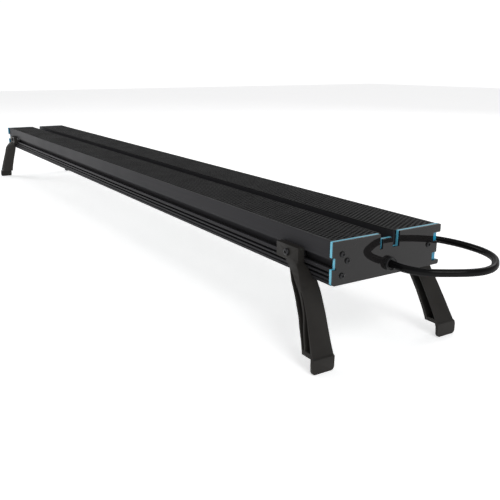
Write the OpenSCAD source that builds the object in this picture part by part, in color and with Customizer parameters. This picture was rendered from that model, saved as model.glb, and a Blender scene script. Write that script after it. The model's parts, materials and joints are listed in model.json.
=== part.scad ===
// Slim LED light bar that bridges an aquarium: a finned aluminium extrusion with a
// perforated grille, layered end plates, four sliding legs and a low-voltage lead.
// Origin: middle of the light in plan, on the plane that the leg tabs' feet stand on.
// X runs along the light (the lead leaves at +X), -Y is the front, +Z is up.

/* [Body] */
// Overall length, over the outer faces of the two end plates
light_l = 1222; // [1100:1:1400]
// Width of the end plates
plate_w = 130; // [130:0.5:134]
// Height of the end plates
plate_h = 39.5; // [39.5:0.5:42]
// Thickness of the dark outer end plate
dark_t = 2; // [1.6:0.1:3]
// Thickness of the blue acrylic plate behind it
blue_t = 3; // [2.5:0.1:4]

/* [Housing extrusion] */
// Half width over the two side rails
rail_y = 62.8; // [62.8:0.1:64]
// Depth of the cooling grooves in the side rails
groove_d = 4; // [1:0.1:4]
// Thickness of the web that carries the light-emitting boards
web_t = 2.5; // [2:0.1:2.5]
// Height of the cooling fins above the web
fin_h = 13.5; // [6:0.5:16]
// Number of cooling fins on each side of the channel
fin_n = 5; // [2:1:5]

/* [Light engine] */
// Length of one light-emitting board
board_l = 368; // [280:1:368]
// Emitters along one row of a board
led_n = 16; // [8:1:16]
// Distance between the rows of emitters
led_row = 28; // [20:1:32]

/* [Legs] */
// Height of the end plates' bottom edge above the leg tabs' feet
drop = 75.2; // [75.2:0.1:80]
// Distance from the end of the light in to the leg's screw
leg_in = 61.3; // [50:0.1:300]
// Depth of the recesses in the leg's outer side
leg_pocket = 5; // [1:0.5:6]
// Depth of the hollow in the leg's inner side
leg_hollow = 9; // [1:0.5:9]

/* [Lead] */
// Diameter of the lead
cord_d = 7; // [6.8:0.1:7]
// Diameter of the cable gland's nose
gland_d = 13; // [12:0.5:14]

/* [Hidden] */
$fn = 48;
e = 0.01;
hx = light_l / 2;                 // outer face of the dark end plate
sx = hx - dark_t;                 // joint between the dark and the blue plate
ex = sx - blue_t;                 // end of the extrusion
px = plate_w / 2;
// heights below are above the end plates' bottom edge
slot_lo = 14.3; slot_hi = 22.3;   // mouth of the T-slot
cav_lo = 12.3; cav_hi = 24.3;     // inside of the T-slot
cav_in = 55.3; lip_in = 60.3;
chan_y = 8.5; chan_z = 25.6;      // half width and floor of the cable channel
web_z = 18;                       // underside of the web
gland_z = 11;
ports = [[55.2, 27.9], [49.5, 21.3], [55.1, 8.5]];            // screw ports in each rail
end_screw = [[-55.2, 27.9], [-49.5, 21.3], [-55.1, 8.5], [49.5, 21.3]];
board_x = [-hx + 21 + board_l / 2, -hx + 21 + board_l * 1.5 + 5, -hx + 21 + board_l * 2.5 + 10];
sy = 17.6;                        // height of the leg's screw

// the lead's route on its way from the gland to the hank behind the light
lead_z = drop + gland_z;
route = [
    [hx + 4.2, 0, lead_z], [hx + 11, -0.7, lead_z], [hx + 18.5, -0.6, lead_z], [hx + 27, 1.5, lead_z], [hx + 35, 5.5, lead_z],
    [hx + 41.5, 11.5, lead_z], [hx + 47.5, 20, lead_z], [hx + 53, 29, lead_z], [hx + 58.3, 39, lead_z],
    [hx + 61.8, 50, lead_z], [hx + 61.8, 61, lead_z], [hx + 58.3, 72, lead_z], [hx + 51, 83, lead_z],
    [hx + 42.5, 92.5, lead_z], [hx + 31.5, 100, lead_z], [hx + 19, 104.5, lead_z], [hx + 5, 106.5, lead_z],
    [hx - 10, 106.5, lead_z], [hx - 26, 105.5, lead_z - 0.5], [hx - 40, 105, 84.5], [hx - 55, 105, 82],
    [hx - 72, 105, 77], [hx - 90, 105, 70], [hx - 110, 105.5, 61], [hx - 130, 106, 51.5],
    [hx - 150, 106, 42], [hx - 170, 106.5, 32.5], [hx - 190, 107, 24], [hx - 210, 107, 16.5],
    [hx - 230, 107, 10.5], [hx - 250, 107, 6.5], [hx - 270, 107, 4.5], [hx - 290, 107, 3.6],
    [hx - 310, 107, 3.5], [hx - 330, 107, 3.8], [hx - 350, 107, 4.3], [hx - 372.5, 107, 4.5]];
hank_x = hx - 400;                // middle of the hank
hank_y = 135;
hank_run = 55;                    // straight part of its turns
hank_w = 56;                      // across the middle of the outer turn
tail = [
    [hank_x - 27.5, 107, 11.5], [hank_x - 42, 107, 11.5], [hank_x - 57, 107, 10.5],
    [hank_x - 72, 107, 9], [hank_x - 86, 107, 8.1], [hank_x - 96, 107, 8]];
conn_x = hank_x - 96;

// ---- helpers ----

// a solid with the given (y, z) outline between two stations along the light
module along(x0, x1) translate([x0, 0, drop]) rotate([90, 0, 90]) linear_extrude(x1 - x0) children();

// a rectangle between two corners
module rect(a, b) translate(a) square([b[0] - a[0], b[1] - a[1]]);

// a cylinder along X from x0 to x1, heights above the plates' bottom edge
module rod_x(x0, x1, y, z, r, n = 48) translate([x0, y, drop + z]) rotate([0, 90, 0]) cylinder(h = x1 - x0, r = r, $fn = n);

function arc(c, r, a0, a1, n = 5) = [for (i = [0:n]) let (a = a0 + (a1 - a0) * i / n) [c[0] + r * cos(a), c[1] + r * sin(a)]];

function unit(v) = v / norm(v);
// one ring of a round tube about point p, facing along t
function ring(p, t, r, n) =
    let (s = unit(cross(t, [0, 0, 1])), u = cross(s, t))
    [for (k = [0:n - 1]) p + r * (cos(360 * k / n) * s + sin(360 * k / n) * u)];
function tangent(q, i) =
    i == 0 ? unit(q[1] - q[0]) : i == len(q) - 1 ? unit(q[i] - q[i - 1]) : unit(unit(q[i + 1] - q[i]) + unit(q[i] - q[i - 1]));
// a round tube swept through the points of q
module tube(q, r, n = 10) {
    m = len(q);
    polyhedron(
        points = [for (i = [0:m - 1]) each ring(q[i], tangent(q, i), r, n)],
        faces = concat(
            [[for (k = [0:n - 1]) k]],
            [for (i = [0:m - 2], k = [0:n - 1]) [i * n + k, (i + 1) * n + k, (i + 1) * n + (k + 1) % n, i * n + (k + 1) % n]],
            [[for (k = [n - 1:-1:0]) (m - 1) * n + k]]));
}

// ---- housing ----

module rail_2d() difference() {
    union() {
        rect([52.8, -1], [rail_y, 31.5]);
        rect([lip_in, 31.4], [rail_y, 38.5]);
        rect([57.3, 36.5], [61.8, 38.5]);
        rect([61.8, 38.4], [rail_y, plate_h]);
        translate(ports[1]) circle(r = 3.2);
        rect([49.5, web_z], [52.9, 24.5]);
    }
    rect([cav_in, cav_lo], [lip_in, cav_hi]);
    rect([lip_in - e, slot_lo], [rail_y + 1, slot_hi]);
    rect([rail_y - 1.4, 1.4], [rail_y + 1, 2.9]);
    rect([rail_y - groove_d, 4.7], [rail_y + 1, 6.8]);
    rect([rail_y - groove_d, 8.7], [rail_y + 1, 11]);
    rect([52, 1], [54.8, 3.2]);
}

module housing_2d() {
    for (s = [0, 1]) mirror([s, 0, 0]) difference() {
        union() {
            rail_2d();
            rect([-e, web_z], [52.9, web_z + web_t]);
            rect([chan_y, web_z + 1], [chan_y + 2, 38.5]);
            rect([-e, chan_z - 2], [chan_y + 1, chan_z]);
            for (i = [0:fin_n - 1]) rect([14 + i * 6.8, web_z + 1], [15.6 + i * 6.8, web_z + web_t + fin_h]);
        }
        for (p = ports) translate(p) circle(r = 1.25);
    }
}

module housing_extrusion() color([0.2, 0.21, 0.22]) difference() {
    along(-ex, ex) housing_2d();
    for (b = board_x, dx = [-board_l / 2 + 30, board_l / 2 - 30], y = [-led_row / 2, led_row / 2])
        translate([b + dx, y, drop + web_z - 1]) cylinder(h = web_t + 2, r = 1.25);
}

module grille(s) color([0.13, 0.13, 0.14]) along(-ex, ex) mirror([s < 0 ? 1 : 0, 0]) rect([chan_y + 0.1, 38.5], [61.7, plate_h]);
module front_mesh_grille() grille(-1);
module rear_mesh_grille() grille(1);

// ---- end plates ----

// outline of an end plate; cut is how far the rear relief goes in
module plate_2d(cut, tab) polygon(concat(
    arc([-px + 2, 2], 2, 270, 180),
    [[-px, 14.6], [-px + 3.5, 14.6], [-px + 3.5, 25.2], [-px, 25.2]],
    arc([-px + 1, plate_h - 1], 1, 180, 90, 3),
    [[-11.7, plate_h], [-11.7, chan_z], [-8.4, chan_z], [-8.4, 34.5], [3.6, 34.5], [3.6, chan_z], [11.7, chan_z], [11.7, plate_h]],
    arc([px - 1, plate_h - 1], 1, 90, 0, 3),
    [[px, 31.7], [cut, 31.7], [cut, 23.2], [tab, 23.2], [tab, 12.3], [cut, 12.3], [cut, 4.2], [px, 4.2]],
    arc([px - 2, 2], 2, 0, -90)));

module plate_holes(r) {
    for (p = end_screw) translate(p) circle(r = r);
    translate([0, gland_z]) circle(r = 5.6);
}

module seal_2d(g = 0) difference() {
    rect([-53.4 - g, 1.4 - g], [53.4 + g, 19.6 + g]);
    rect([-52 + g, 2.8 + g], [52 - g, 18.2 - g]);
}

module dark_plate() color([0.09, 0.09, 0.1]) along(sx, hx) difference() {
    plate_2d(55.8, 61.5);
    plate_holes(1.6);
}
module blue_plate() color([0.3, 0.68, 0.8]) difference() {
    along(ex, sx) difference() {
        plate_2d(61.7, 61.7);
        plate_holes(1.6);
    }
    along(ex - 1, ex + 1.5) seal_2d(0.05);
}
module end_seal() color([0.15, 0.15, 0.15]) along(ex, ex + 1.45) seal_2d();
module end_screws() color([0.25, 0.25, 0.26]) for (p = end_screw) difference() {
    union() {
        rod_x(hx, hx + 1.6, p[0], p[1], 2.75);
        rod_x(ex - 8, hx + 0.5, p[0], p[1], 1.2);
    }
    rod_x(hx + 0.6, hx + 2, p[0], p[1], 1.15, 6);
}
module end_plate_right() dark_plate();
module end_plate_left() mirror([1, 0, 0]) dark_plate_plain();
module dark_plate_plain() color([0.09, 0.09, 0.1]) along(sx, hx) difference() {
    plate_2d(55.8, 61.5);
    for (p = end_screw) translate(p) circle(r = 1.6);
}
module blue_plate_right() blue_plate();
module blue_plate_left() mirror([1, 0, 0]) color([0.3, 0.68, 0.8]) difference() {
    along(ex, sx) difference() {
        plate_2d(61.7, 61.7);
        for (p = end_screw) translate(p) circle(r = 1.6);
    }
    along(ex - 1, ex + 1.5) seal_2d(0.05);
}
module end_seal_right() end_seal();
module end_seal_left() mirror([1, 0, 0]) end_seal();
module end_screws_right() end_screws();
module end_screws_left() mirror([1, 0, 0]) end_screws();

// ---- light engine ----

module led_board(i) color([0.9, 0.9, 0.88]) difference() {
    translate([board_x[i] - board_l / 2, -45, drop + web_z - 1.6]) cube([board_l, 90, 1.6]);
    for (dx = [-board_l / 2 + 30, board_l / 2 - 30], y = [-led_row / 2, led_row / 2])
        translate([board_x[i] + dx, y, drop + web_z - 3]) cylinder(h = 4, r = 1.6);
}
module led_board_left() led_board(0);
module led_board_middle() led_board(1);
module led_board_right() led_board(2);

// emitters whose place in the row gives remainder k when divided by 3
module leds(k) for (b = board_x, i = [0:led_n - 1], j = [-1:1])
    if ((i + j + 3) % 3 == 0 ? k == 1 : k == 0)
        translate([b + (i - (led_n - 1) / 2) * (board_l - 23) / (led_n - 1), j * led_row, drop + web_z - 2.3]) {
            translate([-1.75, -1.75, 0]) cube([3.5, 3.5, 0.7]);
            translate([0, 0, -0.8]) cylinder(h = 0.9, r = 1.4, $fn = 24);
        }
module white_leds() color([0.95, 0.93, 0.75]) leds(0);
module blue_leds() color([0.35, 0.5, 0.9]) leds(1);

module board_screws() color([0.75, 0.75, 0.76])
    for (b = board_x, dx = [-board_l / 2 + 30, board_l / 2 - 30], y = [-led_row / 2, led_row / 2])
        translate([b + dx, y, drop + web_z - 3.2]) {
            cylinder(h = 1.6, r = 2.6);
            cylinder(h = 5.2, r = 1.2);
        }

module splash_cover() color([0.85, 0.9, 0.95, 0.5]) translate([-ex, -54.6, drop + 1.1]) cube([2 * ex, 109.2, 2]);

drv_x = ex - 68;
module driver_board() color([0.1, 0.4, 0.2]) translate([drv_x, -24, drop + web_z - 1.6]) cube([56, 48, 1.6]);
module driver_components() color([0.2, 0.2, 0.22]) {
    translate([drv_x + 8, -14, drop + 7.4]) cylinder(h = 9, r = 4);
    translate([drv_x + 8, 14, drop + 7.4]) cylinder(h = 9, r = 4);
    translate([drv_x + 18, -6, drop + 10.4]) cube([12, 12, 6]);
    translate([drv_x + 20, -19, drop + 14.4]) cube([6, 5, 2]);
    translate([drv_x + 20, 14, drop + 14.4]) cube([6, 5, 2]);
}
module terminal_block() color([0.2, 0.55, 0.35]) difference() {
    translate([drv_x + 38, -8, drop + 7.4]) cube([12, 16, 9]);
    for (y = [-3, 3]) rod_x(drv_x + 44, drv_x + 51, y, gland_z, 1.3, 24);
}
module jumper_wires() color([0.7, 0.1, 0.1]) {
    for (x = [board_x[0] + board_l / 2 - 5, board_x[1] + board_l / 2 - 5, board_x[2] + board_l / 2 - 5], y = [-20, 20])
        rod_x(x, x + 15, y, web_z - 2.2, 0.6, 24);
}
module lead_inner_end() color([0.05, 0.05, 0.05]) rod_x(ex - 9, hx + 4.2, 0, gland_z, cord_d / 2 - 0.05);
module lead_wires() color([0.6, 0.1, 0.1]) for (y = [-2.2, 2.2]) translate([0, y > 0 ? 0.8 : -0.8, 0]) rod_x(drv_x + 45, ex - 9, y, gland_z, 1, 24);

// ---- cable gland ----

module gland_body() color([0.12, 0.12, 0.12]) difference() {
    union() {
        rod_x(ex - 7, hx + 2.2, 0, gland_z, 5.2);
        rod_x(hx, hx + 1.3, 0, gland_z, gland_d / 2);
    }
    rod_x(ex - 8, hx + 0.5, 0, gland_z, cord_d / 2);
    rod_x(hx + 0.4, hx + 3, 0, gland_z, 4.3);
}
module gland_lock_nut() color([0.12, 0.12, 0.12]) difference() {
    translate([ex - 4.5, 0, drop + gland_z]) rotate([0, 90, 0]) rotate([0, 0, 30]) cylinder(h = 4.5, r = 7.7, $fn = 6);
    rod_x(ex - 6, ex + 1, 0, gland_z, 5.22);
}
module gland_seal() color([0.06, 0.06, 0.06]) difference() {
    rod_x(hx + 0.45, hx + 2.15, 0, gland_z, 4.25);
    rod_x(hx + 0.3, hx + 3, 0, gland_z, cord_d / 2);
}
module gland_nose_nut() color([0.12, 0.12, 0.12]) difference() {
    translate([hx + 1.4, 0, drop + gland_z]) rotate([0, 90, 0])
        rotate_extrude() polygon([[5.22, 0], [gland_d / 2, 0], [gland_d / 2, 2.5], [gland_d / 2 - 0.3, 2.8], [5.8, 2.8], [4.9, 1.8], [cord_d / 2, 1.8], [cord_d / 2, 0.9], [5.22, 0.9]]);
}

// ---- legs ----

// the leg seen from the front: x out from the screw, z up from the tab's foot
leg_xz = [
    [17.2, 85.6], [24.3, 81.2], [28.6, 77.3], [33.4, 72], [37.8, 66], [41.6, 60], [45.4, 54], [48.9, 48],
    [52.1, 42], [55.2, 36], [58.3, 30], [61.4, 24], [64.6, 18], [66.3, 14.8], [68.1, 13.7], [68.3, 12.9],
    [68.1, 0], [65.3, 0], [64.7, 10.7], [63.4, 13.6], [50.6, 13.6], [46.4, 24], [43.6, 30], [40.8, 36],
    [38, 42], [34.6, 48], [31, 54], [27.4, 60], [24, 66], [19.9, 72], [14.6, 78], [8.5, 82.5],
    [0, 85.6], [0, 87], [17.2, 87]];
// the leg seen along the light: y out from the middle, z up from the tab's foot
leg_yz = concat(
    [[70, 87.2], [73, 84], [76.6, 78]],
    [[79.1, 72], [79.9, 66], [80.4, 60], [81.4, 54], [82.4, 48], [83.4, 42], [84.6, 36], [85.6, 30], [86.5, 24], [87.5, 18], [87.9, 15.2],
     [89.5, 10.2]],
    arc([86.1, 3.5], 3.5, 0, -90), arc([68.9, 3.5], 3.5, 270, 180),
    [[65.2, 15.2], [64.6, 24], [64, 30], [63.3, 36], [62.6, 42], [61.9, 48], [61.3, 54], [60.4, 60], [60, 66], [59.6, 73.6],
     [63.1, 73.6], [63.1, 87.2]]);
// two recesses in the leg's outer side, either side of one long rib
recess_back = [
    [13.5, 80], [17.8, 76], [23.1, 69.5], [26.4, 64.5], [30.8, 57], [35, 50], [38.4, 44], [41.2, 38.5],
    [43.8, 33], [46.6, 27], [50.8, 17.4], [52.9, 17.4], [49.5, 27], [47.4, 33], [45.8, 38.5], [44.2, 44],
    [41.9, 50], [37.8, 57], [33.1, 64.5], [29, 69.5], [20.8, 76], [14.2, 80]];
recess_front = [
    [35.6, 66], [37.8, 62], [41.3, 56], [44.4, 50], [46.5, 44], [47.8, 38.5], [49.5, 33], [51.4, 27],
    [54.5, 17.4], [62.2, 17.4], [58.1, 27], [55.3, 33], [52.6, 38.5], [49.9, 44], [46.6, 50], [43, 56],
    [39.2, 62], [36.3, 66]];
recess_yz = [
    [76.6 - leg_pocket, 80.5], [79.1 - leg_pocket, 72], [80.4 - leg_pocket, 60], [82.4 - leg_pocket, 48], [84.6 - leg_pocket, 36],
    [86.5 - leg_pocket, 24], [87.9 - leg_pocket, 15.2], [95, 15.2], [95, 80.5]];
// the hollow in its inner side
hollow_xz = [
    [26.7, 71], [28.6, 66], [31.7, 60], [35, 54], [38.5, 48], [41.7, 42], [44.4, 36], [47.1, 30],
    [50, 24], [52.9, 17.4], [63.3, 17.4], [60, 24], [57.1, 30], [54, 36], [51, 42], [47.8, 48],
    [44.2, 54], [40.2, 60], [35.9, 66], [31.4, 71]];
hollow_yz = [
    [59.6 + leg_hollow, 73.6], [60.4 + leg_hollow, 60], [61.9 + leg_hollow, 48], [63.3 + leg_hollow, 36],
    [64.6 + leg_hollow, 24], [65.2 + leg_hollow, 15.2], [55, 15.2], [55, 73.6]];

module xz(y0, y1) translate([0, y1, 0]) rotate([90, 0, 0]) linear_extrude(y1 - y0) children();
module yz(x0, x1) translate([x0, 0, 0]) rotate([90, 0, 90]) linear_extrude(x1 - x0) children();

// places a part of the leg: a = +1 right or -1 left, b = +1 rear or -1 front
module at_leg(a, b) mirror([a < 0 ? 1 : 0, 0, 0]) mirror([0, b < 0 ? 1 : 0, 0]) translate([hx - leg_in, 0, drop - 75.2]) children();

module leg(a, b) color([0.2, 0.2, 0.2]) at_leg(a, b) difference() {
    union() {
        intersection() {
            xz(55, 95) polygon(leg_xz);
            yz(-20, 80) polygon(leg_yz);
        }
        translate([-17.1, rail_y + 0.3, 85.6]) cube([34.3, 6.9, 14.1]);
    }
    intersection() {
        xz(66, 95) polygon(recess_back);
        yz(-20, 80) polygon(recess_yz);
    }
    intersection() {
        xz(66, 95) polygon(recess_front);
        yz(-20, 80) polygon(recess_yz);
    }
    intersection() {
        xz(55, 80) polygon(hollow_xz);
        yz(-20, 80) polygon(hollow_yz);
    }
    translate([0, 60, 75.2 + sy]) rotate([-90, 0, 0]) cylinder(h = 15, r = 2.1);
}
module leg_front_right() leg(1, -1);
module leg_rear_right() leg(1, 1);
module leg_front_left() leg(-1, -1);
module leg_rear_left() leg(-1, 1);

module leg_screw(a, b) color([0.25, 0.25, 0.26]) at_leg(a, b) translate([0, 0, 75.2 + sy]) rotate([-90, 0, 0]) difference() {
    union() {
        translate([0, 0, rail_y + 7.2]) cylinder(h = 2.5, r = 3.6);
        translate([0, 0, 57.5]) cylinder(h = rail_y - 49, r = 1.95);
    }
    translate([0, 0, rail_y + 8.2]) cylinder(h = 3, r = 1.45, $fn = 6);
}
module leg_screw_front_right() leg_screw(1, -1);
module leg_screw_rear_right() leg_screw(1, 1);
module leg_screw_front_left() leg_screw(-1, -1);
module leg_screw_rear_left() leg_screw(-1, 1);

module slot_nut(a, b) color([0.6, 0.6, 0.62]) at_leg(a, b) difference() {
    union() {
        translate([-10, cav_in + 0.3, 75.2 + cav_lo + 0.3]) cube([20, 4.4, cav_hi - cav_lo - 0.6]);
        translate([-7, cav_in + 4, 75.2 + slot_lo + 0.3]) cube([14, 3.3, slot_hi - slot_lo - 0.6]);
    }
    translate([0, 50, 75.2 + sy]) rotate([-90, 0, 0]) cylinder(h = 20, r = 2);
}
module slot_nut_front_right() slot_nut(1, -1);
module slot_nut_rear_right() slot_nut(1, 1);
module slot_nut_front_left() slot_nut(-1, -1);
module slot_nut_rear_left() slot_nut(-1, 1);

// ---- lead ----

module power_cord() color([0.05, 0.05, 0.05]) tube(route, cord_d / 2, 10);
module cord_hank() color([0.05, 0.05, 0.05]) translate([hank_x, hank_y, 1]) {
    translate([-hank_run / 2, -(hank_w + 7) / 2, 0]) cube([hank_run, hank_w + 7, 14]);
    for (s = [-1, 1]) translate([s * hank_run / 2, 0, 0]) cylinder(h = 14, r = (hank_w + 7) / 2);
}
module cord_tie() color([0.1, 0.1, 0.1]) difference() {
    translate([hank_x - 6, hank_y - (hank_w + 9) / 2, 0]) cube([12, hank_w + 9, 16]);
    translate([hank_x - 7, hank_y - (hank_w + 7) / 2, 1]) cube([14, hank_w + 7, 14]);
}
module cord_tail() color([0.05, 0.05, 0.05]) tube(tail, cord_d / 2, 10);

module conn(x) translate([conn_x - x, 107, 8]) rotate([0, -90, 0]) children();
module connector_body() color([0.06, 0.06, 0.06]) conn(0) rotate_extrude()
    polygon([[0, 0], [4, 0], [5.4, 16], [6.6, 18], [6.6, 30], [5, 30], [5, 44], [4, 44], [4, 34], [0, 34]]);
module connector_ring() color([0.1, 0.1, 0.1]) conn(0) rotate_extrude()
    polygon([[5.3, 30.3], [7.6, 30.3], [8, 31], [8, 45], [7.6, 45.7], [6, 45.7], [6, 41], [5.3, 41]]);
module connector_pins() color([0.8, 0.7, 0.4]) for (s = [-1, 1]) conn(34) translate([0, s * 1.8, 0]) cylinder(h = 8, r = 0.7, $fn = 24);

housing_extrusion();
front_mesh_grille();
rear_mesh_grille();
end_plate_right();
end_plate_left();
blue_plate_right();
blue_plate_left();
end_seal_right();
end_seal_left();
end_screws_right();
end_screws_left();
led_board_left();
led_board_middle();
led_board_right();
white_leds();
blue_leds();
board_screws();
splash_cover();
driver_board();
driver_components();
terminal_block();
jumper_wires();
lead_inner_end();
lead_wires();
gland_body();
gland_lock_nut();
gland_seal();
gland_nose_nut();
leg_front_right();
leg_rear_right();
leg_front_left();
leg_rear_left();
leg_screw_front_right();
leg_screw_rear_right();
leg_screw_front_left();
leg_screw_rear_left();
slot_nut_front_right();
slot_nut_rear_right();
slot_nut_front_left();
slot_nut_rear_left();
power_cord();
cord_hank();
cord_tie();
cord_tail();
connector_body();
connector_ring();
connector_pins();
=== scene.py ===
import bpy, bmesh, json, math
from math import radians, sin, cos, pi
from mathutils import Vector, Matrix


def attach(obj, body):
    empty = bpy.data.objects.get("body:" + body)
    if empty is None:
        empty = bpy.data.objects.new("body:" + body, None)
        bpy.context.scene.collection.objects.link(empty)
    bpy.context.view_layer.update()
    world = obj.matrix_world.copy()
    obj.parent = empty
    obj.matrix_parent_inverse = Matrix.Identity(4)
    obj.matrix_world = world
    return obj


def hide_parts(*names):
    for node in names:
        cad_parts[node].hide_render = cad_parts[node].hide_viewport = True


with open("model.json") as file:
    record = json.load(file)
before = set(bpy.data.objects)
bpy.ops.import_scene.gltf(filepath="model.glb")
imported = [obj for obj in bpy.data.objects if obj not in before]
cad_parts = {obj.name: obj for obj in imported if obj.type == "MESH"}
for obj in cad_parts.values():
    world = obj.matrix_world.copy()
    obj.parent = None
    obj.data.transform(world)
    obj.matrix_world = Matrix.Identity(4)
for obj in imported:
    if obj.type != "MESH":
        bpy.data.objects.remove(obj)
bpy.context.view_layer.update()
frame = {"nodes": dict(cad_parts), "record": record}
scene = bpy.context.scene
coll = scene.collection
MM = 0.001
HX = 0.611          # half the light's length, to the outer faces of the end plates
DROP = 75.2         # height of the end plates' bottom edge, mm

# ------------------------------------------------------------------ camera
cam_data = bpy.data.cameras.new("camera")
cam_data.sensor_width = 36.0
cam_data.lens = 46.61
cam_data.clip_start, cam_data.clip_end = 0.01, 50
cam = bpy.data.objects.new("camera", cam_data)
cam.location = (1.0208, -0.4058, 0.2600)
cam.rotation_euler = (radians(73.992), 0, radians(57.927))
coll.objects.link(cam)
scene.camera = cam


# ------------------------------------------------------------------ helpers
def new_object(name, verts, faces, smooth=None):
    mesh = bpy.data.meshes.new(name)
    mesh.from_pydata([tuple(v) for v in verts], [], faces)
    mesh.validate()
    mesh.update()
    ob = bpy.data.objects.new(name, mesh)
    coll.objects.link(ob)
    if smooth is not None:
        shade(ob, smooth)
    return ob


def shade(ob, angle):
    for p in ob.data.polygons:
        p.use_smooth = True
    ob.data.set_sharp_from_angle(angle=radians(angle))


def outward(ob):
    bm = bmesh.new()
    bm.from_mesh(ob.data)
    bmesh.ops.recalc_face_normals(bm, faces=bm.faces)
    bm.to_mesh(ob.data)
    bm.free()


def settle(ob):
    """The object's modifiers, applied to its mesh."""
    dg = bpy.context.evaluated_depsgraph_get()
    dg.update()
    mesh = bpy.data.meshes.new_from_object(ob.evaluated_get(dg))
    ob.modifiers.clear()
    old = ob.data
    ob.data = mesh
    bpy.data.meshes.remove(old)
    return ob


def boolean(ob, other, kind):
    m = ob.modifiers.new("b", "BOOLEAN")
    m.operation, m.object, m.solver = kind, other, "EXACT"
    settle(ob)
    bpy.data.objects.remove(other)
    return ob


def bevel(ob, width, segments=2, angle=30):
    m = ob.modifiers.new("bev", "BEVEL")
    m.width, m.segments, m.limit_method, m.angle_limit = width, segments, "ANGLE", radians(angle)
    m.use_clamp_overlap = True
    m.miter_outer = "MITER_ARC"
    settle(ob)
    return ob


def catmull(pts, step, closed=False):
    """Points every step or so along a smooth curve through pts."""
    pts = [Vector(p) for p in pts]
    out = []
    n = len(pts)
    for i in range(n - 1):
        p1, p2 = pts[i], pts[i + 1]
        p0 = pts[i - 1] if i else p1 * 2 - p2
        p3 = pts[i + 2] if i + 2 < n else p2 * 2 - p1
        k = max(1, int(round((p2 - p1).length / step)))
        for j in range(k):
            t = j / k
            out.append(0.5 * ((2 * p1) + (p2 - p0) * t + (2 * p0 - 5 * p1 + 4 * p2 - p3) * t * t + (3 * p1 - p0 - 3 * p2 + p3) * t ** 3))
    out.append(pts[-1])
    return out


def tube(name, path, radius, sides=18, cap=True):
    """A closed tube along path, with rings that don't twist."""
    n = len(path)
    tans = [(path[min(i + 1, n - 1)] - path[max(i - 1, 0)]).normalized() for i in range(n)]
    up = Vector((0, 0, 1)) if abs(tans[0].z) < 0.9 else Vector((1, 0, 0))
    side = tans[0].cross(up).normalized()
    verts, faces = [], []
    for i, p in enumerate(path):
        side = (side - tans[i] * side.dot(tans[i])).normalized()
        u = side.cross(tans[i])
        for k in range(sides):
            a = 2 * pi * k / sides
            verts.append(p + radius * (cos(a) * side + sin(a) * u))
    for i in range(n - 1):
        for k in range(sides):
            a, b = i * sides + k, i * sides + (k + 1) % sides
            faces.append((a, b, b + sides, a + sides))
    if cap:
        faces.append(tuple(range(sides - 1, -1, -1)))
        faces.append(tuple((n - 1) * sides + k for k in range(sides)))
    ob = new_object(name, verts, faces)
    outward(ob)
    shade(ob, 50)
    return ob


def lathe(name, profile, place, segs=48, angle=35):
    """A turned body. profile is (radius, height, shape) with shape None, a number of flats, or (ridges, depth)."""
    verts, faces = [], []
    for r, h, kind in profile:
        for k in range(segs):
            a = 2 * pi * k / segs
            rr = r
            if isinstance(kind, (int, float)) and kind:
                w = 2 * pi / kind
                rr = r * cos(w / 2) / cos((a + w / 2) % w - w / 2)
            elif isinstance(kind, tuple):
                rr = r - kind[1] * (0.5 + 0.5 * cos(a * kind[0])) ** 2
            verts.append(place @ Vector((rr * cos(a), rr * sin(a), h)))
    for i in range(len(profile) - 1):
        for k in range(segs):
            a, b = i * segs + k, i * segs + (k + 1) % segs
            faces.append((a, b, b + segs, a + segs))
    faces.append(tuple(range(segs - 1, -1, -1)))
    faces.append(tuple((len(profile) - 1) * segs + k for k in range(segs)))
    ob = new_object(name, verts, faces)
    outward(ob)
    shade(ob, angle)
    return ob


def ring_lathe(name, profile, place, segs=64, angle=35):
    """A turned ring: the profile's last point joins its first, so there are no end caps."""
    verts, faces = [], []
    for r, h, kind in profile:
        for k in range(segs):
            a = 2 * pi * k / segs
            rr = r - (kind[1] * (0.5 + 0.5 * cos(a * kind[0])) ** 2 if kind else 0)
            verts.append(place @ Vector((rr * cos(a), rr * sin(a), h)))
    m = len(profile)
    for i in range(m):
        for k in range(segs):
            a, b = i * segs + k, i * segs + (k + 1) % segs
            c = (i + 1) % m * segs
            faces.append((a, b, c + (k + 1) % segs, c + k))
    ob = new_object(name, verts, faces)
    outward(ob)
    shade(ob, angle)
    return ob


def join(name, obs):
    """One object from several."""
    bm = bmesh.new()
    mats = []
    for o in obs:
        tmp = o.data.copy()
        tmp.transform(o.matrix_world)
        base = len(mats)
        mats += list(o.data.materials) or [None]
        before = len(bm.faces)
        bm.from_mesh(tmp)
        bm.faces.ensure_lookup_table()
        for f in bm.faces[before:]:
            f.material_index += base
        bpy.data.meshes.remove(tmp)
        bpy.data.objects.remove(o)
    mesh = bpy.data.meshes.new(name)
    bm.to_mesh(mesh)
    bm.free()
    if any(mats):
        for m in mats:
            mesh.materials.append(m)
    ob = bpy.data.objects.new(name, mesh)
    coll.objects.link(ob)
    return ob


def weigh(ob, angle):
    """Flat faces keep true normals; only the broken edges are rounded by shading."""
    shade(ob, angle)
    m = ob.modifiers.new("wn", "WEIGHTED_NORMAL")
    m.mode, m.weight, m.keep_sharp = "FACE_AREA", 100, True
    return settle(ob)


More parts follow.
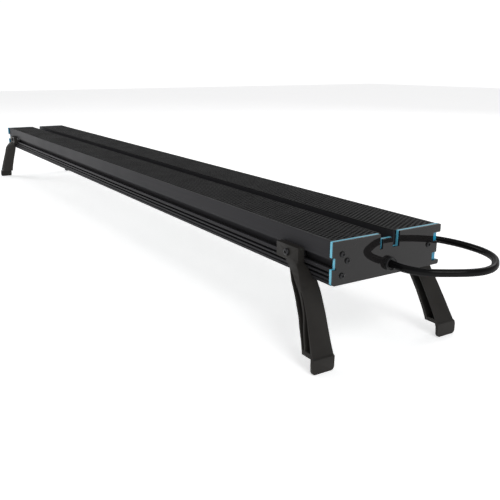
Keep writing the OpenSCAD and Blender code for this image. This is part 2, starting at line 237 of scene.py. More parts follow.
def cad_copy(node, name):
    """A welded copy of a CAD node's mesh, with flat faces whole again."""
    src = frame["nodes"][node]
    mesh = src.data.copy()
    mesh.materials.clear()
    ob = bpy.data.objects.new(name, mesh)
    coll.objects.link(ob)
    bm = bmesh.new()
    bm.from_mesh(mesh)
    bmesh.ops.remove_doubles(bm, verts=bm.verts, dist=2e-6)
    bmesh.ops.dissolve_limit(bm, angle_limit=radians(0.5), verts=bm.verts, edges=bm.edges)
    bm.to_mesh(mesh)
    bm.free()
    if hasattr(mesh, "normals_split_custom_set") and mesh.has_custom_normals:
        bpy.context.view_layer.objects.active = ob
        ob.select_set(True)
        bpy.ops.mesh.customdata_custom_splitnormals_clear()
        ob.select_set(False)
    return ob


def paint(ob, *mats):
    ob.data.materials.clear()
    for m in mats:
        ob.data.materials.append(m)
    return ob


def add(ob, body, slot, *nodes):
    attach(ob, body)
    if nodes:
        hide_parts(*nodes)
    return ob


# ------------------------------------------------------------------ materials
def material(name):
    m = bpy.data.materials.new(name)
    m.use_nodes = True
    nt = m.node_tree
    b = nt.nodes["Principled BSDF"]
    return m, nt, b


def coords(nt, scale=(1, 1, 1)):
    tc = nt.nodes.new("ShaderNodeTexCoord")
    mp = nt.nodes.new("ShaderNodeMapping")
    mp.inputs["Scale"].default_value = scale
    nt.links.new(tc.outputs["Object"], mp.inputs["Vector"])
    return mp.outputs["Vector"]


def noise(nt, vec, scale, detail=3, rough=0.5):
    n = nt.nodes.new("ShaderNodeTexNoise")
    n.inputs["Scale"].default_value = scale
    n.inputs["Detail"].default_value = detail
    n.inputs["Roughness"].default_value = rough
    nt.links.new(vec, n.inputs["Vector"])
    return n.outputs["Fac"]


def ramp(nt, fac, a, b, lo=0.3, hi=0.7):
    r = nt.nodes.new("ShaderNodeValToRGB")
    r.color_ramp.elements[0].position, r.color_ramp.elements[1].position = lo, hi
    r.color_ramp.elements[0].color = (*a, 1)
    r.color_ramp.elements[1].color = (*b, 1)
    nt.links.new(fac, r.inputs["Fac"])
    return r.outputs["Color"]


def span(nt, fac, lo, hi, a=0.3, b=0.7):
    r = nt.nodes.new("ShaderNodeMapRange")
    r.inputs["From Min"].default_value, r.inputs["From Max"].default_value = a, b
    r.inputs["To Min"].default_value, r.inputs["To Max"].default_value = lo, hi
    nt.links.new(fac, r.inputs["Value"])
    return r.outputs["Result"]


def bump(nt, b, height, strength, distance):
    n = nt.nodes.new("ShaderNodeBump")
    n.inputs["Strength"].default_value = strength
    n.inputs["Distance"].default_value = distance
    nt.links.new(height, n.inputs["Height"])
    nt.links.new(n.outputs["Normal"], b.inputs["Normal"])


def surface(name, dark, light, rough=(0.4, 0.5), metal=0.0, tone=40, grain=1500, bump_s=0.2, bump_d=0.00005, spec=0.5, ior=1.5, stretch=(1, 1, 1), coat=0.0, coat_rough=0.05):
    """A moulded or coated surface: a slow drift of tone that also varies the roughness, and a fine grain in the
    bump.
    """
    m, nt, b = material(name)
    v = coords(nt, stretch)
    slow, fine = noise(nt, v, tone, 4), noise(nt, v, grain, 2)
    colour = ramp(nt, slow, dark, light)
    nt.links.new(colour, b.inputs["Base Color"])
    nt.links.new(span(nt, slow, *rough), b.inputs["Roughness"])
    b.inputs["Metallic"].default_value = metal
    b.inputs["IOR"].default_value = ior
    b.inputs["Specular IOR Level"].default_value = spec
    if coat:
        b.inputs["Coat Weight"].default_value = coat
        b.inputs["Coat Roughness"].default_value = coat_rough
    if bump_s:
        bump(nt, b, fine, bump_s, bump_d)
    return m


def anodised():
    """Black anodised aluminium: fine blasted grain with faint die lines along the extrusion."""
    m, nt, b = material("anodised_black")
    v = coords(nt)
    slow, grain = noise(nt, v, 9, 3), noise(nt, v, 2600, 2)
    lines = noise(nt, coords(nt, (0.6, 220, 220)), 4.0, 4, 0.6)
    nt.links.new(ramp(nt, lines, (0.0285, 0.0280, 0.0305), (0.0335, 0.0330, 0.0358)), b.inputs["Base Color"])
    nt.links.new(span(nt, slow, 0.36, 0.44), b.inputs["Roughness"])
    b.inputs["Specular IOR Level"].default_value = 0.045
    mix = nt.nodes.new("ShaderNodeMath")
    mix.operation = "MULTIPLY_ADD"
    mix.inputs[1].default_value = 0.35
    nt.links.new(lines, mix.inputs[0])
    nt.links.new(grain, mix.inputs[2])
    bump(nt, b, mix.outputs[0], 0.12, 0.00004)
    return m


def gloss_black():
    """Polished black acrylic, with the faintest haze and dust."""
    m, nt, b = material("gloss_black_acrylic")
    v = coords(nt)
    haze, dust = noise(nt, v, 60, 4), noise(nt, v, 1800, 1)
    nt.links.new(ramp(nt, haze, (0.0112, 0.0106, 0.0107), (0.0126, 0.0119, 0.0121)), b.inputs["Base Color"])
    nt.links.new(span(nt, dust, 0.02, 0.035, 0.55, 0.8), b.inputs["Roughness"])
    b.inputs["Specular IOR Level"].default_value = 0.33
    return m


def blue_rim_painted_glow():
    """The polished rim of blue acrylic: its lighter blue is painted glow, standing in for the light the acrylic
    gathers at its edges.
    """
    m, nt, b = material("blue_acrylic_rim_painted_glow")
    v = coords(nt, (1, 1, 1))
    # painted glow: this rim blue is lighter than the face's own blue
    nt.links.new(ramp(nt, noise(nt, v, 45, 3), (0.095, 0.43, 0.60), (0.16, 0.53, 0.69)), b.inputs["Base Color"])
    b.inputs["Roughness"].default_value = 0.16
    b.inputs["IOR"].default_value = 1.49
    b.inputs["Subsurface Weight"].default_value = 0.25
    b.inputs["Subsurface Scale"].default_value = 0.003
    b.inputs["Subsurface Radius"].default_value = (0.4, 0.9, 1.0)
    bump(nt, b, noise(nt, v, 700, 2), 0.05, 0.00003)
    return m


def blue_face():
    m, nt, b = material("blue_acrylic_face")
    v = coords(nt)
    nt.links.new(ramp(nt, noise(nt, v, 50, 3), (0.011, 0.23, 0.39), (0.021, 0.29, 0.46)), b.inputs["Base Color"])
    b.inputs["Roughness"].default_value = 0.05
    b.inputs["IOR"].default_value = 1.49
    bump(nt, b, noise(nt, v, 300, 2), 0.02, 0.00003)
    return m


def clear_cover():
    m, nt, b = material("clear_cover")
    v = coords(nt)
    nt.links.new(ramp(nt, noise(nt, v, 25, 3), (0.90, 0.95, 0.97), (0.95, 0.98, 0.99)), b.inputs["Base Color"])
    nt.links.new(span(nt, noise(nt, v, 900, 2), 0.02, 0.06), b.inputs["Roughness"])
    b.inputs["Transmission Weight"].default_value = 1.0
    b.inputs["IOR"].default_value = 1.49
    return m


def board_white():
    """White solder mask with thin copper tracks showing through as slightly raised, greyer lines."""
    m, nt, b = material("board_white_mask")
    v = coords(nt)
    br = nt.nodes.new("ShaderNodeTexBrick")
    nt.links.new(coords(nt, (1, 1, 1)), br.inputs["Vector"])
    br.inputs["Scale"].default_value = 1.0
    br.inputs["Brick Width"].default_value = 0.023
    br.inputs["Row Height"].default_value = 0.014
    br.inputs["Mortar Size"].default_value = 0.0006
    br.inputs["Color1"].default_value = (0.80, 0.80, 0.77, 1)
    br.inputs["Color2"].default_value = (0.78, 0.78, 0.75, 1)
    br.inputs["Mortar"].default_value = (0.62, 0.62, 0.58, 1)
    nt.links.new(br.outputs["Color"], b.inputs["Base Color"])
    nt.links.new(span(nt, noise(nt, v, 120, 3), 0.35, 0.5), b.inputs["Roughness"])
    bump(nt, b, br.outputs["Fac"], 0.3, 0.00004)
    return m


def led_dome(name, a, b_):
    m, nt, b = material(name)
    v = coords(nt)
    nt.links.new(ramp(nt, noise(nt, v, 900, 2), a, b_), b.inputs["Base Color"])
    b.inputs["Roughness"].default_value = 0.12
    b.inputs["Coat Weight"].default_value = 0.6
    b.inputs["Coat Roughness"].default_value = 0.05
    return m


def strap():
    """Woven hook-and-loop strap."""
    m, nt, b = material("woven_strap")
    v = coords(nt)
    w = nt.nodes.new("ShaderNodeTexWave")
    w.inputs["Scale"].default_value = 900
    w.inputs["Distortion"].default_value = 1.5
    nt.links.new(v, w.inputs["Vector"])
    nt.links.new(ramp(nt, w.outputs["Fac"], (0.012, 0.012, 0.013), (0.03, 0.03, 0.032)), b.inputs["Base Color"])
    b.inputs["Roughness"].default_value = 0.85
    b.inputs["Sheen Weight"].default_value = 0.3
    bump(nt, b, w.outputs["Fac"], 0.6, 0.0002)
    return m


MAT = {
    "anodised_body": anodised(),
    "grille_black": surface("powder_coat_black", (0.013, 0.013, 0.0133), (0.018, 0.018, 0.0183), (0.45, 0.55), tone=30, grain=2200, bump_s=0.2, spec=0.04),
    "gloss_black": gloss_black(),
    "blue_acrylic": blue_rim_painted_glow(),
    "seal_rubber": surface("seal_rubber", (0.012, 0.012, 0.012), (0.02, 0.02, 0.02), (0.6, 0.75), grain=1200, bump_s=0.2),
    "screw_black": surface("blackened_steel", (0.020, 0.020, 0.021), (0.035, 0.035, 0.037), (0.28, 0.40), metal=0.8, tone=300, grain=2500, bump_s=0.12),
    "slot_nut_steel": surface("zinc_steel", (0.38, 0.38, 0.39), (0.52, 0.52, 0.53), (0.28, 0.45), metal=1.0, tone=250, grain=1800, bump_s=0.15),
    "board_white": board_white(),
    "led_white": led_dome("phosphor_dome", (0.72, 0.62, 0.22), (0.85, 0.75, 0.34)),
    "led_blue": led_dome("blue_dome", (0.22, 0.30, 0.62), (0.34, 0.42, 0.75)),
    "steel_plain": surface("plain_steel", (0.50, 0.50, 0.51), (0.62, 0.62, 0.63), (0.22, 0.35), metal=1.0, tone=300, grain=2000, bump_s=0.1),
    "clear_cover": clear_cover(),
    "board_green": surface("board_green_mask", (0.010, 0.085, 0.030), (0.018, 0.12, 0.045), (0.3, 0.42), tone=220, grain=900, bump_s=0.15),
    "component_dark": surface("moulded_black", (0.018, 0.018, 0.02), (0.032, 0.032, 0.034), (0.4, 0.55), tone=200, grain=1500),
    "terminal_green": surface("terminal_green", (0.02, 0.20, 0.06), (0.03, 0.26, 0.09), (0.38, 0.5), tone=200, grain=1500),
    "wire_red": surface("wire_red", (0.30, 0.012, 0.012), (0.40, 0.02, 0.02), (0.38, 0.5), tone=200, grain=1500, bump_s=0.1),
    "lead_black": surface("lead_jacket", (0.004, 0.004, 0.0042), (0.006, 0.006, 0.0062), (0.17, 0.22), tone=60, grain=900, bump_s=0.03, bump_d=0.00004, spec=0.0, coat=0.22, coat_rough=0.2),
    "gland_black": surface("gland_nylon", (0.010, 0.010, 0.0105), (0.016, 0.016, 0.0165), (0.36, 0.46), tone=200, grain=1300, bump_s=0.15, spec=0.35),
    "leg_black": surface("leg_moulded_black", (0.0235, 0.0219, 0.0202), (0.0285, 0.0267, 0.0247), (0.36, 0.46), tone=35, grain=1600, bump_s=0.2, bump_d=0.00005, spec=0.09),
    "tie_black": strap(),
    "connector_black": surface("connector_moulding", (0.012, 0.012, 0.013), (0.022, 0.022, 0.024), (0.4, 0.55), tone=150, grain=1400, bump_s=0.25),
    "pin_brass": surface("pin_plating", (0.62, 0.46, 0.20), (0.75, 0.58, 0.30), (0.2, 0.32), metal=1.0, tone=500, grain=3000, bump_s=0.05),
}
BLUE_FACE = blue_face()

# every carried-over CAD node gets its slot's material
for s in frame["record"]["subparts"]:
    ob = frame["nodes"][s["node"]]
    paint(ob, MAT[s["material_slot"]])

# ------------------------------------------------------------------ the lead
LEAD_Z = DROP + 11
H = 611.0
route = [
    (H + 4.2, 0, LEAD_Z), (H + 11, -0.7, LEAD_Z), (H + 18.5, -0.6, LEAD_Z), (H + 27, 1.5, LEAD_Z), (H + 35, 5.5, LEAD_Z),
    (H + 41.5, 11.5, LEAD_Z), (H + 47.5, 20, LEAD_Z), (H + 53, 29, LEAD_Z), (H + 58.3, 39, LEAD_Z),
    (H + 61.8, 50, LEAD_Z), (H + 61.8, 61, LEAD_Z), (H + 58.3, 72, LEAD_Z), (H + 51, 83, LEAD_Z),
    (H + 42.5, 92.5, LEAD_Z), (H + 31.5, 100, LEAD_Z), (H + 19, 104.5, LEAD_Z), (H + 5, 106.5, LEAD_Z),
    (H - 10, 106.5, LEAD_Z), (H - 26, 105.5, LEAD_Z - 0.5), (H - 40, 105, 84.5), (H - 55, 105, 82),
    (H - 72, 105, 77), (H - 90, 105, 70), (H - 110, 105.5, 61), (H - 130, 106, 51.5),
    (H - 150, 106, 42), (H - 170, 106.5, 32.5), (H - 190, 107, 24), (H - 210, 107, 16.5),
    (H - 230, 107, 10.5), (H - 250, 107, 6.5), (H - 270, 107, 4.5), (H - 290, 107, 3.6),
    (H - 310, 107, 3.5), (H - 330, 107, 3.8), (H - 350, 107, 4.3)]
HANK = (H - 400, 135)
RUN, R1, R2, Z1, Z2 = 27.5, 28.0, 21.0, 4.5, 11.5


def hank():
    """The put-away length: a flat bundle of long turns, two side by side in each of two layers."""
    cx, cy = HANK
    pts = []

    def mixed(a, b, t):
        t = min(1, max(0, t))
        t = t * t * (3 - 2 * t)
        return a + (b - a) * t

    def turn(rf, zf):
        """One turn from the front of the right end; rf and zf give radius and height at part s of the turn."""
        for i in range(6):
            s = 0.22 * i / 6
            pts.append((cx + RUN - 2 * RUN * i / 6, cy - rf(s), zf(s)))
        for i in range(10):
            s, a = 0.22 + 0.28 * i / 10, pi * i / 10
            pts.append((cx - RUN - rf(s) * sin(a), cy - rf(s) * cos(a), zf(s)))
        for i in range(6):
            s = 0.5 + 0.22 * i / 6
            pts.append((cx - RUN + 2 * RUN * i / 6, cy + rf(s), zf(s)))
        for i in range(10):
            s, a = 0.72 + 0.28 * i / 10, pi * i / 10
            pts.append((cx + RUN + rf(s) * sin(a), cy + rf(s) * cos(a), zf(s)))

    turn(lambda s: mixed(R1, R2, (s - 0.72) / 0.28), lambda s: Z1)
    turn(lambda s: R2, lambda s: mixed(Z1, Z2, (s - 0.56) / 0.28))
    turn(lambda s: mixed(R2, R1, (s - 0.22) / 0.28), lambda s: Z2)
    for i in range(6):
        pts.append((cx + RUN - 2 * RUN * i / 6, cy - R1, Z2))
    return pts


tail = [(HANK[0] - 27.5, 107, 11.5), (HANK[0] - 42, 107, 11.5), (HANK[0] - 57, 107, 10.5),
        (HANK[0] - 72, 107, 9), (HANK[0] - 86, 107, 8.1), (HANK[0] - 96, 107, 8)]
lead_path = [p * MM for p in catmull([Vector(p) for p in route + hank() + tail], 3.5)]
lead = tube("power_lead", lead_path, 3.5 * MM, 20)
paint(lead, MAT["lead_black"])

# gland nose: a round clamping nut
gland_axis = Matrix.Translation((HX, 0, LEAD_Z * MM)) @ Matrix.Rotation(radians(90), 4, "Y")
nose = ring_lathe("gland_clamp_nut", [(r * MM, h * MM, None) for r, h in [
    (5.25, 1.45), (6.3, 1.45), (6.5, 1.65), (6.5, 3.75), (6.42, 4.0), (6.25, 4.15), (6.05, 4.2), (5.85, 4.15), (5.7, 4.0), (5.2, 3.4), (4.9, 3.25),
    (3.75, 3.15), (3.6, 3.0), (3.55, 2.35), (5.25, 2.3)]], gland_axis, 96, 40)
paint(nose, MAT["gland_black"])

# the connector on the far end
conn_axis = Matrix.Translation(((HANK[0] - 96) * MM, 107 * MM, 8 * MM)) @ Matrix.Rotation(radians(-90), 4, "Y")
body_prof = [(3.55, 0, None), (4.0, 0, None)]
for i in range(7):       # ribs of the bend relief
    z = 1.5 + i * 2.0
    r = 4.05 + 0.19 * i
    body_prof += [(r, z, None), (r, z + 0.9, None), (r - 0.45, z + 1.1, None), (r - 0.45, z + 1.75, None)]
body_prof += [(5.4, 16.2, None), (6.3, 17.6, None), (6.6, 18.3, None), (6.6, 29.6, None), (6.3, 30, None), (5.0, 30, None), (5.0, 43.6, None),
              (4.8, 44, None), (4.1, 44, None), (3.95, 43.7, None), (3.95, 34, None)]
plug_body = lathe("lead_connector_body", [(r * MM, h * MM, k) for r, h, k in body_prof], conn_axis, 48, 30)
paint(plug_body, MAT["connector_black"])
plug_ring = ring_lathe("lead_connector_ring", [(r * MM, h * MM, k) for r, h, k in [
    (5.35, 30.3, None), (7.2, 30.3, None), (7.6, 30.8, None), (7.95, 31.6, (24, 0.55 * MM)), (7.95, 44.4, (24, 0.55 * MM)),
    (7.6, 45.3, None), (7.2, 45.7, None), (6.2, 45.7, None), (6.0, 45.4, None), (6.0, 41, None), (5.35, 41, None)]], conn_axis, 144, 30)
paint(plug_ring, MAT["connector_black"])


def strap_loop():
    """A closed strap around the whole hank."""
    cx, cy = HANK
    half, top, r, t = 32.5, 16.0, 5.5, 0.9
    ring = []
    for (y, z, a0) in ((half - r, r, -90), (half - r, top - r, 0), (-half + r, top - r, 90), (-half + r, r, 180)):
        for i in range(7):
            a = radians(a0 + 90 * i / 6)
            ring.append((y + r * cos(a), z + r * sin(a)))
        if a0 == 0:      # the top dips a little between the two bundles
            for i in range(1, 14):
                s = i / 14
                ring.append(((half - r) * (1 - 2 * s), top - 0.55 * sin(pi * s) ** 2))
    m = len(ring)
    verts, faces = [], []
    across = [-5.6, -5.3, 5.3, 5.6]
    for j, (y, z) in enumerate(ring):
        a, b = ring[j - 1], ring[(j + 1) % m]
        d = Vector((b[0] - a[0], b[1] - a[1])).normalized()
        nrm = Vector((d.y, -d.x))
        for (x, o) in ((-5.8, 0.25), (-5.4, 0), (5.4, 0), (5.8, 0.25), (5.8, t - 0.25), (5.4, t), (-5.4, t), (-5.8, t - 0.25)):
            verts.append(((cx + x) * MM, (cy + y - nrm.x * o) * MM, (z - nrm.y * o) * MM))
    for j in range(m):
        for k in range(8):
            a, b = j * 8 + k, j * 8 + (k + 1) % 8
            c = (j + 1) % m * 8
            faces.append((a, b, c + (k + 1) % 8, c + k))
    ob = new_object("lead_strap", verts, faces)
    outward(ob)
    shade(ob, 40)
    return ob


tie = strap_loop()
paint(tie, MAT["tie_black"])
add(lead, "light", "lead_black", "power_cord", "cord_hank", "cord_tail")
add(nose, "light", "gland_black", "gland_nose_nut")
add(plug_body, "light", "connector_black", "connector_body")
add(plug_ring, "light", "connector_black", "connector_ring")
add(tie, "light", "tie_black", "cord_tie")

# ------------------------------------------------------------------ perforated grilles
PITCH, ROW, HOLE = 5.0, 4.33, 1.72


def grille(name, side):
    """One perforated sheet: staggered round holes, each in its own brick-shaped cell of the sheet."""
    y0, y1, z = 8.6, 61.7, 39.5
    x0, x1 = -606.0, 606.0
    rows = 12
    cols = int((x1 - x0 - 1.0) // PITCH)
    my, mx = (y1 - y0 - rows * ROW) / 2, (x1 - x0 - cols * PITCH) / 2
    verts, index, faces = [], {}, []

    def v(x, y):
        key = (round(x, 3), round(y, 3))
        if key not in index:
            index[key] = len(verts)
            verts.append((x * MM, side * y * MM, (DROP + z) * MM))
        return index[key]

    def cell(cx, cy):
        hx, hy = PITCH / 2, ROW / 2
        ring = [v(cx + HOLE * cos(radians(30 * k)), cy + HOLE * sin(radians(30 * k))) for k in range(12)]
        o = [v(cx + hx, cy), v(cx + hx, cy + hy), v(cx, cy + hy), v(cx - hx, cy + hy), v(cx - hx, cy), v(cx - hx, cy - hy), v(cx, cy - hy), v(cx + hx, cy - hy)]
        for a, b, k0, k1 in ((0, 1, 0, 1), (1, 2, 1, 3), (2, 3, 3, 5), (3, 4, 5, 6), (4, 5, 6, 7), (5, 6, 7, 9), (6, 7, 9, 11), (7, 0, 11, 12)):
            faces.append([o[a], o[b]] + [ring[k % 12] for k in range(k1, k0 - 1, -1)])

    def blank(xa, xb, ya, yb, left=(), right=()):
        faces.append([v(xa, ya)] + [v(xb, ya)] + [v(xb, m) for m in right] + [v(xb, yb), v(xa, yb)] + [v(xa, m) for m in left])

    ys = [y0 + my + j * ROW for j in range(rows + 1)]
    xa, xb = x0 + mx, x1 - mx
    for j in range(rows):
        cy = ys[j] + ROW / 2
        if j % 2 == 0:
            for i in range(cols):
                cell(xa + (i + 0.5) * PITCH, cy)
        else:
            blank(xa, xa + PITCH / 2, ys[j], ys[j + 1], (), (cy,))
            for i in range(1, cols):
                cell(xa + i * PITCH, cy)
            blank(xb - PITCH / 2, xb, ys[j], ys[j + 1], (cy,), ())
    for i in range(cols * 2):       # solid margins along the two long edges
        a, b = xa + i * PITCH / 2, xa + (i + 1) * PITCH / 2
        blank(a, b, y0, ys[0])
        blank(a, b, ys[-1], y1)
    for j in range(rows):           # and at the two ends
        cy = (ys[j] + ys[j + 1]) / 2
        mids = (cy,) if j % 2 == 0 else ()
        blank(x0, xa, ys[j], ys[j + 1], (), mids)
        blank(xb, x1, ys[j], ys[j + 1], mids, ())
    for a, b in ((x0, xa), (xb, x1)):
        blank(a, b, y0, ys[0])
        blank(a, b, ys[-1], y1)
    ob = new_object(name, verts, faces)
    outward(ob)
    if ob.data.polygons[0].normal.z < 0:
        ob.data.flip_normals()
    m = ob.modifiers.new("s", "SOLIDIFY")
    m.thickness, m.offset = 1.0 * MM, -1
    settle(ob)
    shade(ob, 35)
    return ob


for name, side, node in (("front_grille_perforated", -1, "front_mesh_grille"), ("rear_grille_perforated", 1, "rear_mesh_grille")):
    g = grille(name, side)
    paint(g, MAT["grille_black"])
    add(g, "light", "grille_black", node)

# ------------------------------------------------------------------ housing and end plates with their edges broken
housing = cad_copy("housing_extrusion", "housing_extrusion_finished")
bevel(housing, 0.22 * MM, 2, 40)
weigh(housing, 50)
paint(housing, MAT["anodised_body"])
add(housing, "light", "anodised_body", "housing_extrusion")

for end in ("right", "left"):
    p = cad_copy("end_plate_" + end, "outer_end_plate_" + end)
    bevel(p, 0.18 * MM, 2, 40)
    weigh(p, 50)
    paint(p, MAT["gloss_black"])
    add(p, "light", "gloss_black", "end_plate_" + end)
    p = cad_copy("blue_plate_" + end, "blue_acrylic_plate_" + end)
    bevel(p, 0.12 * MM, 2, 40)
    weigh(p, 50)
    paint(p, MAT["blue_acrylic"], BLUE_FACE)
    # faces looking along X get the plain blue; every other face gets the rim blue with its painted glow
    for f in p.data.polygons:
        f.material_index = 1 if abs(f.normal.x) > 0.9 else 0
    add(p, "light", "blue_acrylic", "blue_plate_" + end)

# ------------------------------------------------------------------ screws
END_SCREWS = [(-55.2, 27.9), (-49.5, 21.3), (-55.1, 8.5), (49.5, 21.3)]


def button_head(name, place, r, h, hexr, depth, shank_r, shank_l, turn=0):
    """A button-head screw with a hexagon socket: origin under the head, +Z out of it."""
    prof = [(shank_r, -shank_l, None), (shank_r, -0.02, None), (r * 0.97, 0, None), (r, 0.12 * h, None)]
    for i in range(1, 7):
        a = i / 7 * pi / 2
        prof.append((r * (0.62 + 0.38 * cos(a)), h * (0.12 + 0.86 * sin(a)), None))
    prof += [(hexr * 1.22, h, None), (hexr * 1.06, h * 0.985, 6), (hexr, h - 0.25, 6), (hexr, h - depth, 6), (hexr * 0.3, h - depth - 0.25, None)]
    return lathe(name, [(a * MM, b * MM, k) for a, b, k in prof], place @ Matrix.Rotation(turn, 4, "Z"), 48, 32)


for end, s in (("right", 1), ("left", -1)):
    heads = []
    for i, (y, z) in enumerate(END_SCREWS):
        place = Matrix.Translation((s * HX, y * MM, (DROP + z) * MM)) @ Matrix.Rotation(radians(90 * s), 4, "Y")
        heads.append(button_head(f"end_screw_{end}_{i}", place, 2.75, 1.6, 1.15, 1.0, 1.2, 13, 0.5 + 1.1 * i))
    ob = join("end_plate_screws_" + end, heads)
    shade(ob, 32)
    paint(ob, MAT["screw_black"])
    add(ob, "light", "screw_black", "end_screws_" + end)

# ------------------------------------------------------------------ legs
LEG_IN = 61.3
SY = 17.6
top_outer = [(17.2, 85.6), (24.3, 81.2), (28.6, 77.3), (33.4, 72), (37.8, 66), (41.6, 60), (45.4, 54), (48.9, 48), (52.1, 42), (55.2, 36), (58.3, 30), (61.4, 24), (64.6, 18), (66.3, 14.8)]
back_edge = [(50.6, 13.6), (46.4, 24), (43.6, 30), (40.8, 36), (38, 42), (34.6, 48), (31, 54), (27.4, 60), (24, 66), (19.9, 72), (14.6, 78), (8.5, 82.5), (0, 85.6)]
side_outer = [(79.1, 72), (79.9, 66), (80.4, 60), (81.4, 54), (82.4, 48), (83.4, 42), (84.6, 36), (85.6, 30), (86.5, 24), (87.5, 18), (87.9, 15.2)]
side_inner = [(65.2, 15.2), (64.6, 24), (64, 30), (63.3, 36), (62.6, 42), (61.9, 48), (61.3, 54), (60.4, 60), (60, 66), (59.6, 73.6)]


def smooth2(pts, step=2.0):
    return [(p.x, p.y) for p in catmull([Vector((a, b, 0)) for a, b in pts], step)]


leg_xz = smooth2(top_outer) + [(68.1, 13.7), (68.3, 12.9), (68.1, 0), (65.3, 0), (64.7, 10.7), (63.4, 13.6)] + smooth2(back_edge) + [(0, 87), (17.2, 87)]


def corner(c, r, a0, a1, n=6):
    return [(c[0] + r * cos(radians(a0 + (a1 - a0) * i / n)), c[1] + r * sin(radians(a0 + (a1 - a0) * i / n))) for i in range(n + 1)]


leg_yz = ([(70, 87.2), (73, 84), (76.6, 78)] + smooth2([(76.6, 78)] + side_outer)[1:] + [(89.5, 10.2)]
          + corner((86.1, 3.5), 3.5, 0, -90) + corner((68.9, 3.5), 3.5, 270, 180)
          + smooth2(side_inner, 3) + [(63.1, 73.6), (63.1, 87.2)])


def at(table, z):
    t = sorted((b, a) for a, b in table)
    for (z0, v0), (z1, v1) in zip(t, t[1:]):
        if z <= z1:
            return v0 + (v1 - v0) * (z - z0) / (z1 - z0)
    return t[-1][1]


def across(rows):
    """A recess outline from rows of (height, near edge, far edge), the edges as parts of the leg's width there."""
    left = [(at(back_edge, z) + a * (at(top_outer, z) - at(back_edge, z)), z) for z, a, b in rows]
    right = [(at(back_edge, z) + b * (at(top_outer, z) - at(back_edge, z)), z) for z, a, b in rows]
    return smooth2(left) + smooth2(right[::-1])


# the outer side is hollowed on both sides of one long rib that fades downwards
recess_back = across([(80, .12, .17), (76, .11, .33), (69.5, .11, .54), (64.5, .11, .59), (57, .11, .6), (50, .11, .59), (44, .11, .52), (38.5, .11, .43), (33, .11, .36), (27, .11, .30), (17.4, .11, .24)])
recess_front = across([(66, .84, .89), (62, .82, .92), (56, .8, .92), (50, .77, .92), (44, .68, .92), (38.5, .57, .91), (33, .5, .9), (27, .43, .88), (17.4, .34, .83)])
# and the inner side is hollow
hollow = across([(71, .45, .8), (66, .33, .86), (60, .3, .9), (54, .28, .92), (48, .27, .92), (42, .26, .92), (36, .25, .92), (30, .24, .92), (24, .24, .91), (17.4, .24, .9)])
POCKET = 5.0
pocket_yz = [(76.6 - POCKET, 80.5), (79.1 - POCKET, 72)] + [(y - POCKET, z) for y, z in side_outer[1:]] + [(95, 15.2), (95, 80.5)]
hollow_yz = [(y + 9, z) for y, z in side_inner[::-1]] + [(55, 15.2), (55, 73.6)]


def prism(name, outline, axis, lo, hi):
    n = len(outline)
    if axis == "Y":
        vs = [(x, lo, z) for x, z in outline] + [(x, hi, z) for x, z in outline]
    else:
        vs = [(lo, y, z) for y, z in outline] + [(hi, y, z) for y, z in outline]
    fs = [tuple(range(n)), tuple(range(2 * n - 1, n - 1, -1))] + [(i, (i + 1) % n, (i + 1) % n + n, i + n) for i in range(n)]
    ob = new_object(name, [(a * MM, b * MM, c * MM) for a, b, c in vs], fs)
    outward(ob)
    return ob


def leg_blank():
    ob = prism("leg_blank", leg_xz, "Y", 55, 95)
    boolean(ob, prism("t1", leg_yz, "X", -20, 80), "INTERSECT")
    block = prism("t2", [(-17.1, 85.6), (17.2, 85.6), (17.2, 99.7), (-17.1, 99.7)], "Y", 63.1, 70)
    boolean(ob, block, "UNION")
    for outline in (recess_back, recess_front):
        cut = prism("t3", outline, "Y", 66, 95)
        boolean(cut, prism("t4", pocket_yz, "X", -20, 80), "INTERSECT")
        boolean(ob, cut, "DIFFERENCE")
    cut = prism("t3", hollow, "Y", 55, 80)
    boolean(cut, prism("t4", hollow_yz, "X", -20, 80), "INTERSECT")
    boolean(ob, cut, "DIFFERENCE")
    hole = lathe("t5", [(2.1 * MM, 60 * MM, None), (2.1 * MM, 75 * MM, None)], Matrix.Translation((0, 0, (DROP + SY) * MM)) @ Matrix.Rotation(radians(-90), 4, "X"), 32)
    boolean(ob, hole, "DIFFERENCE")
    bm = bmesh.new()
    bm.from_mesh(ob.data)
    bmesh.ops.remove_doubles(bm, verts=bm.verts, dist=5e-6)
    bmesh.ops.dissolve_limit(bm, angle_limit=radians(0.3), verts=bm.verts, edges=bm.edges)
    bm.to_mesh(ob.data)
    bm.free()
    bevel(ob, 0.45 * MM, 4, 28)
    return weigh(ob, 21)


blank_leg = leg_blank()
for end, a in (("right", 1), ("left", -1)):
    for row, b in (("front", -1), ("rear", 1)):
        key = f"{row}_{end}"
        body = "leg_" + key
        move = Matrix.Translation((a * (611 - LEG_IN) * MM, 0, 0)) @ Matrix.Diagonal((a, b, 1, 1))
        mesh = blank_leg.data.copy()
        mesh.transform(move)
        ob = bpy.data.objects.new("moulded_leg_" + key, mesh)
        coll.objects.link(ob)
        if a * b < 0:
            ob.data.flip_normals()
        paint(ob, MAT["leg_black"])
        add(ob, body, "leg_black", "leg_" + key)
        place = Matrix.Translation((a * (611 - LEG_IN) * MM, b * 70.0 * MM, (DROP + SY) * MM)) @ Matrix.Rotation(radians(-90 * b), 4, "X")
        sc = button_head("leg_clamp_screw_" + key, place, 3.6, 2.45, 1.45, 1.4, 1.95, 12.5, 0.35)
        paint(sc, MAT["screw_black"])
        add(sc, body, "screw_black", "leg_screw_" + key)
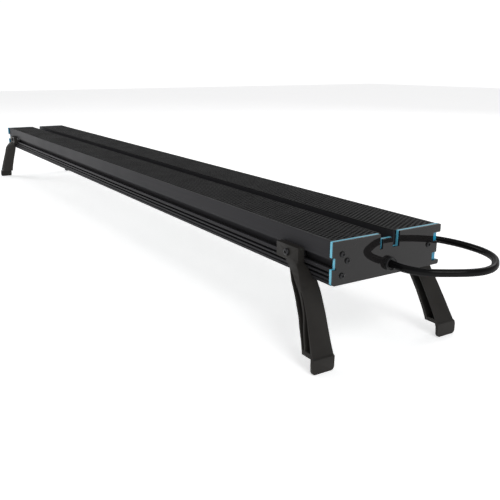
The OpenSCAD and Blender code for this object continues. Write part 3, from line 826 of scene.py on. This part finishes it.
bpy.data.objects.remove(blank_leg)

# ------------------------------------------------------------------ floor, light
floor = new_object("floor", [(-6, -6, 0), (6, -6, 0), (6, 6, 0), (-6, 6, 0)], [(0, 1, 2, 3)])
m, nt, b = material("pale_floor")
nt.links.new(ramp(nt, noise(nt, coords(nt), 3, 2), (0.90, 0.90, 0.90), (0.92, 0.92, 0.92)), b.inputs["Base Color"])
b.inputs["Roughness"].default_value = 0.9
b.inputs["Specular IOR Level"].default_value = 0.1
b.inputs["Emission Color"].default_value = (1, 1, 1, 1)      # a lit sweep
b.inputs["Emission Strength"].default_value = 0.52
paint(floor, m)

world = bpy.data.worlds.new("studio")
scene.world = world
world.use_nodes = True
wt = world.node_tree
sep = wt.nodes.new("ShaderNodeSeparateXYZ")
wt.links.new(wt.nodes.new("ShaderNodeTexCoord").outputs["Generated"], sep.inputs[0])
sky = wt.nodes.new("ShaderNodeValToRGB")       # white round the horizon, dimmer overhead
sky.color_ramp.elements[0].position, sky.color_ramp.elements[1].position = 0.11, 0.26
sky.color_ramp.elements[0].color, sky.color_ramp.elements[1].color = (1.04, 1.04, 1.04, 1), (0.38, 0.38, 0.385, 1)
wt.links.new(sep.outputs[2], sky.inputs["Fac"])
wt.links.new(sky.outputs["Color"], wt.nodes["Background"].inputs["Color"])
world.node_tree.nodes["Background"].inputs["Strength"].default_value = 1.0


def area(name, loc, target, size, power):
    d = bpy.data.lights.new(name, "AREA")
    d.shape, d.size, d.energy = "DISK", size, power
    o = bpy.data.objects.new(name, d)
    o.location = loc
    o.rotation_euler = (Vector(target) - Vector(loc)).to_track_quat("-Z", "Y").to_euler()
    coll.objects.link(o)


area("key", (2.2, -0.3, 1.9), (0.55, 0, 0.08), 1.2, 17)
area("fill_left", (-1.9, -1.3, 1.3), (-0.3, 0, 0.08), 1.2, 12)
area("fill_rear", (-0.5, 2.1, 1.5), (0.0, 0, 0.08), 1.4, 14)
scene.view_settings.view_transform = "Standard"
scene.view_settings.look = "None"

bpy.context.view_layer.update()
